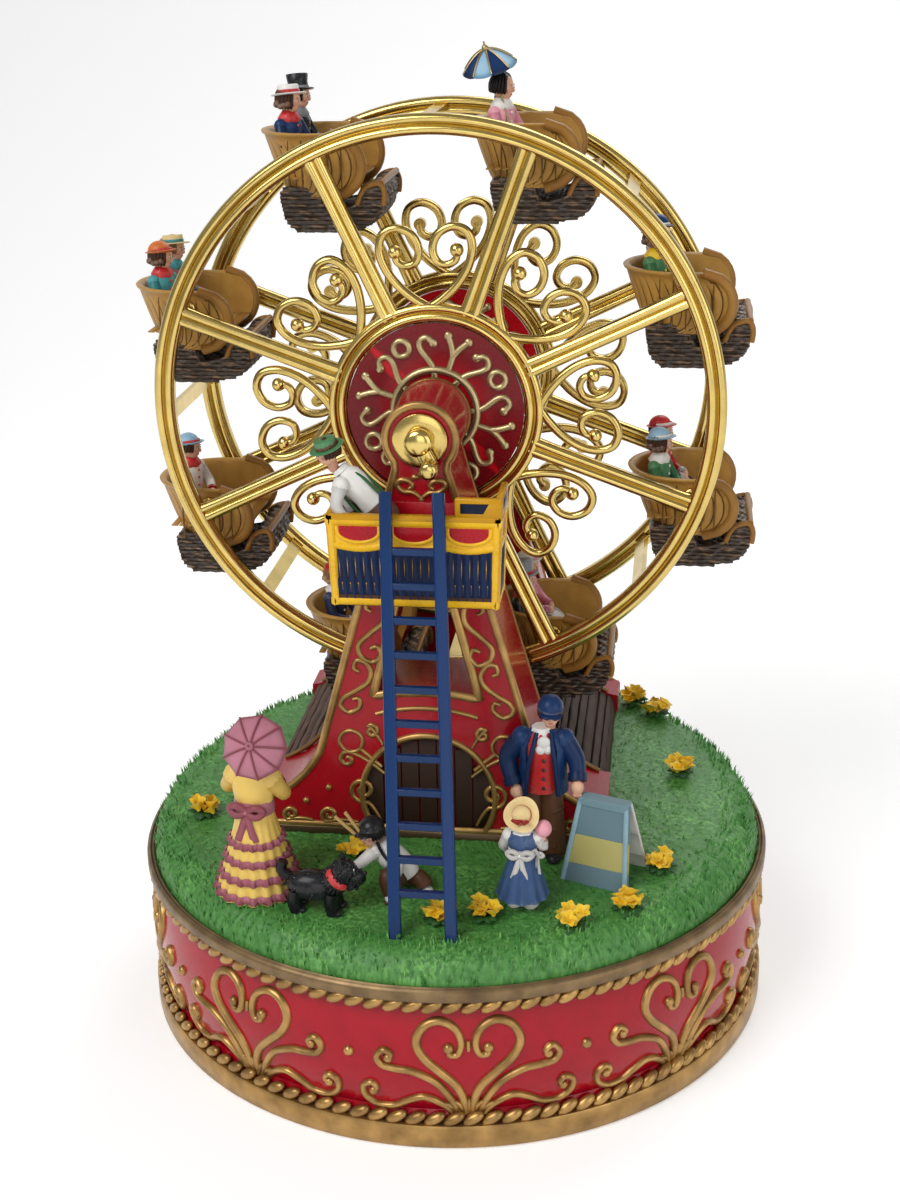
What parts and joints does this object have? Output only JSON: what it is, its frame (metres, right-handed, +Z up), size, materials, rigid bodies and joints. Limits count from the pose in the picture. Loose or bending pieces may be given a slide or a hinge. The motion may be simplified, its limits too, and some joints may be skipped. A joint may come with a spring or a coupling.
{
  "type": "hand cranked toy ferris wheel",
  "caption": "Table-top hand cranked ferris wheel toy on a round musical base, with swinging gondolas, riders, ladder, balcony and small figures.",
  "frame": {"origin": "centre of the round base on its underside, at table level", "axes": "+Z up, +Y from the ladder side back to the rear tower along the wheel's axle, +X to the right seen from the ladder side"},
  "size_m": [0.1847, 0.184, 0.2688],
  "materials": {
    "base_paint": "cast resin, glossy crimson band with antique gold mouldings",
    "grass": "cast resin, painted turf",
    "cover_board": "black moulded cover",
    "steel": "plain steel",
    "tower_red": "cast resin, red with antique gold edges",
    "brass_bush": "turned brass",
    "planks": "cast resin, painted as dark planks",
    "balcony_paint": "cast resin, yellow frame with navy curtains",
    "screen_paint": "cast resin, yellow and navy",
    "figure_paint": "cast resin, hand painted figure",
    "ladder_blue": "moulded plastic, glossy blue",
    "parasol_pink": "cast resin, pink",
    "terrier_black": "cast resin, black",
    "sign_paint": "cast resin, blue-grey with a yellow band",
    "flowers": "cast resin, yellow heads on green leaves",
    "gold": "bright gold-plated die casting",
    "gold_bar": "gold-plated flat strip",
    "hub_red": "red lacquered disc",
    "gondola_cane": "moulded plastic, tan cane shell over a dark wicker boot",
    "rider_paint": "moulded plastic, hand painted riders"
  },
  "bodies": {
    "stand": {"base_drum": "base_paint", "grass_mound": "grass", "bottom_cover": "cover_board", "cover_screws": "steel", "front_tower": "tower_red", "rear_tower": "tower_red", "axle_bushes": "brass_bush", "left_plank_wall": "planks", "right_plank_wall": "planks", "balcony": "balcony_paint", "balcony_screen": "screen_paint", "operator_figure": "figure_paint", "ladder": "ladder_blue", "lady_figure": "figure_paint", "lady_parasol": "parasol_pink", "terrier": "terrier_black", "boy_figure": "figure_paint", "man_figure": "figure_paint", "girl_figure": "figure_paint", "sandwich_sign": "sign_paint", "flower_clumps": "flowers", "movement_bedplate": "brass_bush", "tune_comb": "steel", "governor": "brass_bush"},
    "wheel": {"wheel_axle": "steel", "axle_nut": "gold", "crank_washer": "gold", "crank": "gold", "cross_bars": "gold_bar", "gondola_pins": "steel", "front_rim": "gold", "front_spokes": "gold", "front_hub_disc": "hub_red", "front_hearts": "gold", "rear_rim": "gold", "rear_spokes": "gold", "rear_hub_disc": "hub_red", "rear_hearts": "gold"},
    "spring_barrel": {"spring_barrel": "brass_bush"},
    "tune_cylinder": {"tune_cylinder": "brass_bush"},
    "winding_key": {"winding_key": "steel"},
    "gondola_1": {"gondola_1": "gondola_cane", "riders_1": "rider_paint"},
    "gondola_2": {"gondola_2": "gondola_cane", "riders_2": "rider_paint"},
    "gondola_3": {"gondola_3": "gondola_cane", "riders_3": "rider_paint"},
    "gondola_4": {"gondola_4": "gondola_cane", "riders_4": "rider_paint"},
    "gondola_5": {"gondola_5": "gondola_cane", "riders_5": "rider_paint"},
    "gondola_6": {"gondola_6": "gondola_cane", "riders_6": "rider_paint"},
    "gondola_7": {"gondola_7": "gondola_cane", "riders_7": "rider_paint"},
    "gondola_8": {"gondola_8": "gondola_cane", "riders_8": "rider_paint"}
  },
  "joints": [
    {"name": "wheel_spin", "type": "hinge", "parent": "stand", "child": "wheel", "pos_m": [-0.0038, 0.025, 0.1747], "axis": [0, 1, 0], "continuous": true},
    {"name": "gondola_1_swing", "type": "hinge", "parent": "wheel", "child": "gondola_1", "pos_m": [0.06463, 0.025, 0.20661], "axis": [0, 1, 0], "continuous": true},
    {"name": "gondola_2_swing", "type": "hinge", "parent": "wheel", "child": "gondola_2", "pos_m": [0.02202, 0.025, 0.24565], "axis": [0, 1, 0], "continuous": true},
    {"name": "gondola_3_swing", "type": "hinge", "parent": "wheel", "child": "gondola_3", "pos_m": [-0.03571, 0.025, 0.24313], "axis": [0, 1, 0], "continuous": true},
    {"name": "gondola_4_swing", "type": "hinge", "parent": "wheel", "child": "gondola_4", "pos_m": [-0.07475, 0.025, 0.20052], "axis": [0, 1, 0], "continuous": true},
    {"name": "gondola_5_swing", "type": "hinge", "parent": "wheel", "child": "gondola_5", "pos_m": [-0.07223, 0.025, 0.14279], "axis": [0, 1, 0], "continuous": true},
    {"name": "gondola_6_swing", "type": "hinge", "parent": "wheel", "child": "gondola_6", "pos_m": [-0.02962, 0.025, 0.10375], "axis": [0, 1, 0], "continuous": true},
    {"name": "gondola_7_swing", "type": "hinge", "parent": "wheel", "child": "gondola_7", "pos_m": [0.02811, 0.025, 0.10627], "axis": [0, 1, 0], "continuous": true},
    {"name": "gondola_8_swing", "type": "hinge", "parent": "wheel", "child": "gondola_8", "pos_m": [0.06715, 0.025, 0.14888], "axis": [0, 1, 0], "continuous": true},
    {"name": "winding_key_turn", "type": "hinge", "parent": "stand", "child": "winding_key", "pos_m": [-0.016, 0, 0.004], "axis": [0, 0, 1], "continuous": true},
    {"name": "spring_barrel_turn", "type": "hinge", "parent": "stand", "child": "spring_barrel", "pos_m": [-0.016, 0, 0.0193], "axis": [0, 0, 1], "continuous": true},
    {"name": "tune_cylinder_spin", "type": "hinge", "parent": "stand", "child": "tune_cylinder", "pos_m": [0.013, 0, 0.028], "axis": [1, 0, 0], "continuous": true}
  ],
  "couplings": [
    {"joint": "gondola_1_swing", "follows": "wheel_spin", "ratio": -1},
    {"joint": "gondola_2_swing", "follows": "wheel_spin", "ratio": -1},
    {"joint": "gondola_3_swing", "follows": "wheel_spin", "ratio": -1},
    {"joint": "gondola_4_swing", "follows": "wheel_spin", "ratio": -1},
    {"joint": "gondola_5_swing", "follows": "wheel_spin", "ratio": -1},
    {"joint": "gondola_6_swing", "follows": "wheel_spin", "ratio": -1},
    {"joint": "gondola_7_swing", "follows": "wheel_spin", "ratio": -1},
    {"joint": "gondola_8_swing", "follows": "wheel_spin", "ratio": -1},
    {"joint": "tune_cylinder_spin", "follows": "spring_barrel_turn", "ratio": 4.5417}
  ]
}
